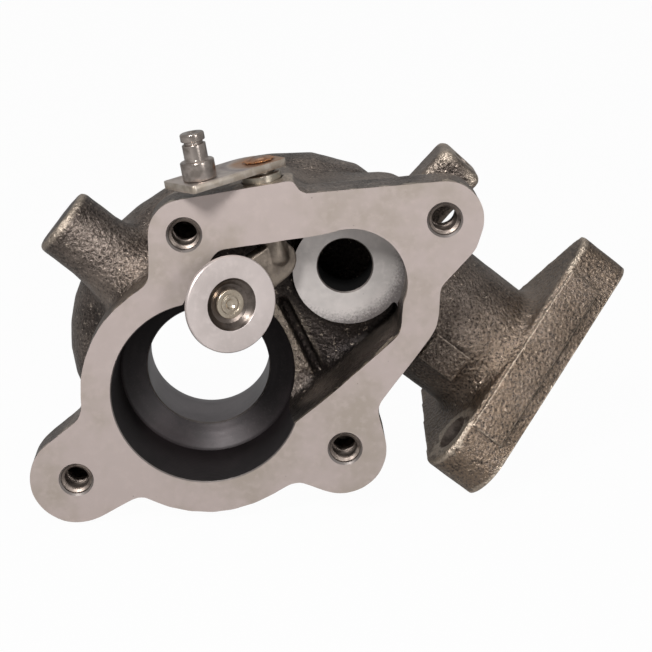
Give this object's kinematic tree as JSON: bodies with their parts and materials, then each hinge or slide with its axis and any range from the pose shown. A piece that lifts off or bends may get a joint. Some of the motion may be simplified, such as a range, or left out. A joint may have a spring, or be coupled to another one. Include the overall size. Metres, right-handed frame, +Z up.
{
  "type": "turbocharger turbine housing",
  "caption": "Cast turbocharger turbine housing: a scroll with a flanged inlet, a wide bolted outlet face and an internal wastegate flap swung by an outside lever.",
  "frame": {"origin": "middle of the footprint, at the height of the surface that the housing stands on", "axes": "-Y out of the bolted outlet face along the turbine axis, +Y into the housing, +X towards the inlet flange, +Z up as the housing stands"},
  "size_m": [0.1968, 0.0988, 0.1277],
  "materials": {
    "turbine_housing": "as-cast sand texture, machined faces bright grey",
    "wastegate_bush": "turned, dull",
    "wastegate_arm": "forged, heat tinted",
    "valve_disc": "turned, satin",
    "valve_rivet": "turned, bright with a straw tint",
    "valve_washer": "plain",
    "lever_plate": "zinc plated, yellowish edges",
    "lever_pin": "turned, satin"
  },
  "bodies": {
    "housing": {"turbine_housing": "turbine_housing", "wastegate_bush": "wastegate_bush"},
    "crank": {"wastegate_arm": "wastegate_arm", "lever_plate": "lever_plate", "lever_pin": "lever_pin"},
    "valve": {"valve_disc": "valve_disc", "valve_rivet": "valve_rivet", "valve_washer": "valve_washer"}
  },
  "joints": [
    {"name": "wastegate_swing", "type": "hinge", "parent": "housing", "child": "crank", "pos_m": [-0.0196, -0.02684, 0.08762], "axis": [-0.165, 0, 0.9863], "range_deg": [0, 152]},
    {"name": "valve_spin", "type": "hinge", "parent": "crank", "child": "valve", "pos_m": [-0.03595, -0.03661, 0.07404], "axis": [0.463, -0.8829, 0.0775], "continuous": true}
  ]
}
